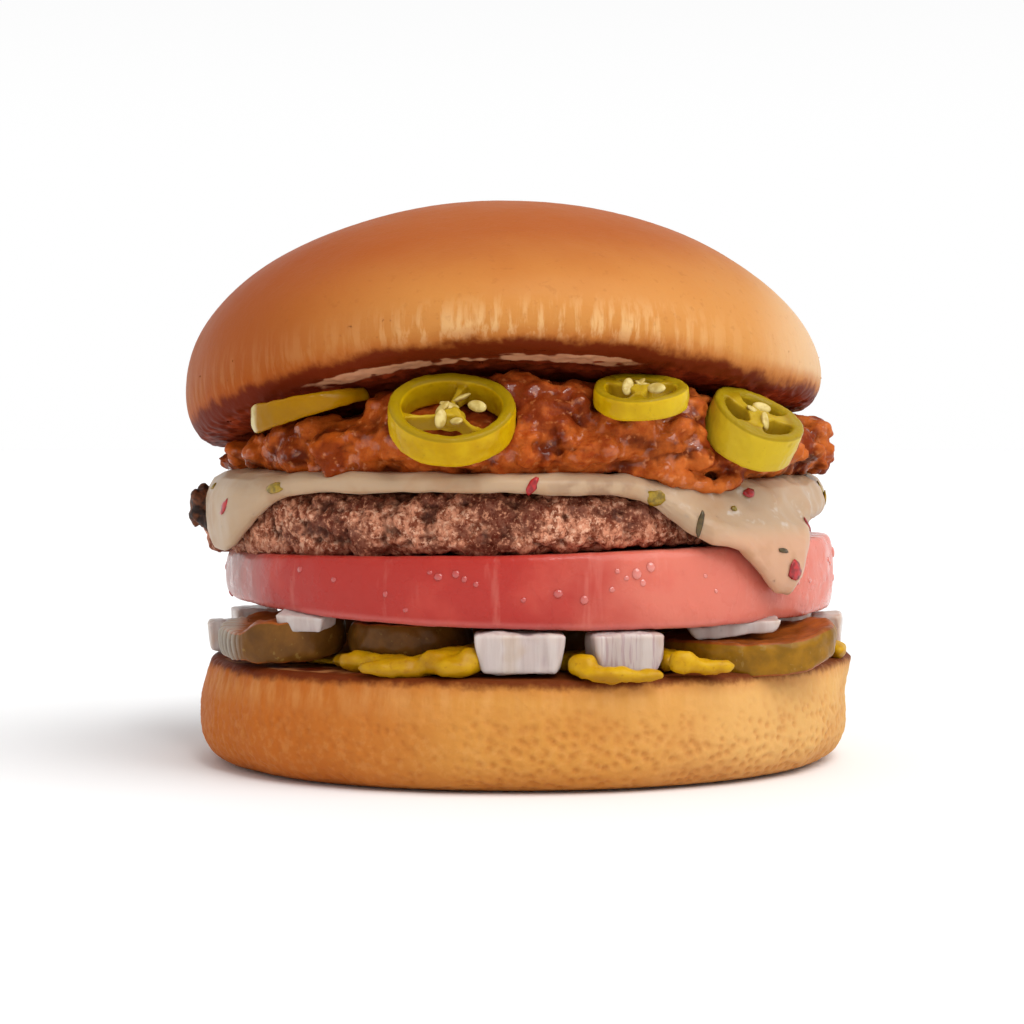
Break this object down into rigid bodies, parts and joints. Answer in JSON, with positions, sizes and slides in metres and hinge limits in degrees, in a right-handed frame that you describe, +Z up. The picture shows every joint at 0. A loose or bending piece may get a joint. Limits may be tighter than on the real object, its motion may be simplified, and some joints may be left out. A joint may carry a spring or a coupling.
{
  "type": "cheeseburger",
  "caption": "Round stacked burger: domed bun, chili with pepper rings, melted cheese over a beef patty, tomato slice, diced onion, pickle chips and mustard on the heel bun.",
  "frame": {"origin": "centre of the heel bun's flat underside, on the surface that the burger stands on", "axes": "+Z up through the stack; -Y towards the side that the picture shows; +X to its right"},
  "size_m": [0.1055, 0.1055, 0.0869],
  "materials": {
    "bun_heel": "soft browned bread crust",
    "bun_crown": "smooth browned bread crust with a satin sheen",
    "mustard": "wet yellow mustard",
    "pickle": "wet olive-green pickle",
    "onion": "wet translucent white onion",
    "tomato": "wet red tomato skin and flesh",
    "beef": "coarse browned ground beef",
    "cheese": "melted cream-coloured cheese with flecks",
    "chili": "glossy red-brown meat sauce",
    "pepper": "wet yellow-green pepper flesh"
  },
  "bodies": {
    "root": {"bottom_bun": "bun_heel", "top_bun": "bun_crown", "mustard": "mustard", "tomato": "tomato", "patty": "beef", "cheese": "cheese", "chili": "chili", "pickle_1": "pickle", "pepper_1": "pepper", "pickle_2": "pickle", "pepper_2": "pepper", "pickle_3": "pickle", "pepper_3": "pepper", "pickle_4": "pickle", "pepper_4": "pepper", "pickle_5": "pickle", "pepper_5": "pepper", "pickle_6": "pickle", "pepper_6": "pepper", "pickle_7": "pickle", "pepper_7": "pepper", "onion_1": "onion", "onion_2": "onion", "onion_3": "onion", "onion_4": "onion", "onion_5": "onion", "onion_6": "onion", "onion_7": "onion", "onion_8": "onion", "onion_9": "onion", "onion_10": "onion"}
  },
  "joints": []
}
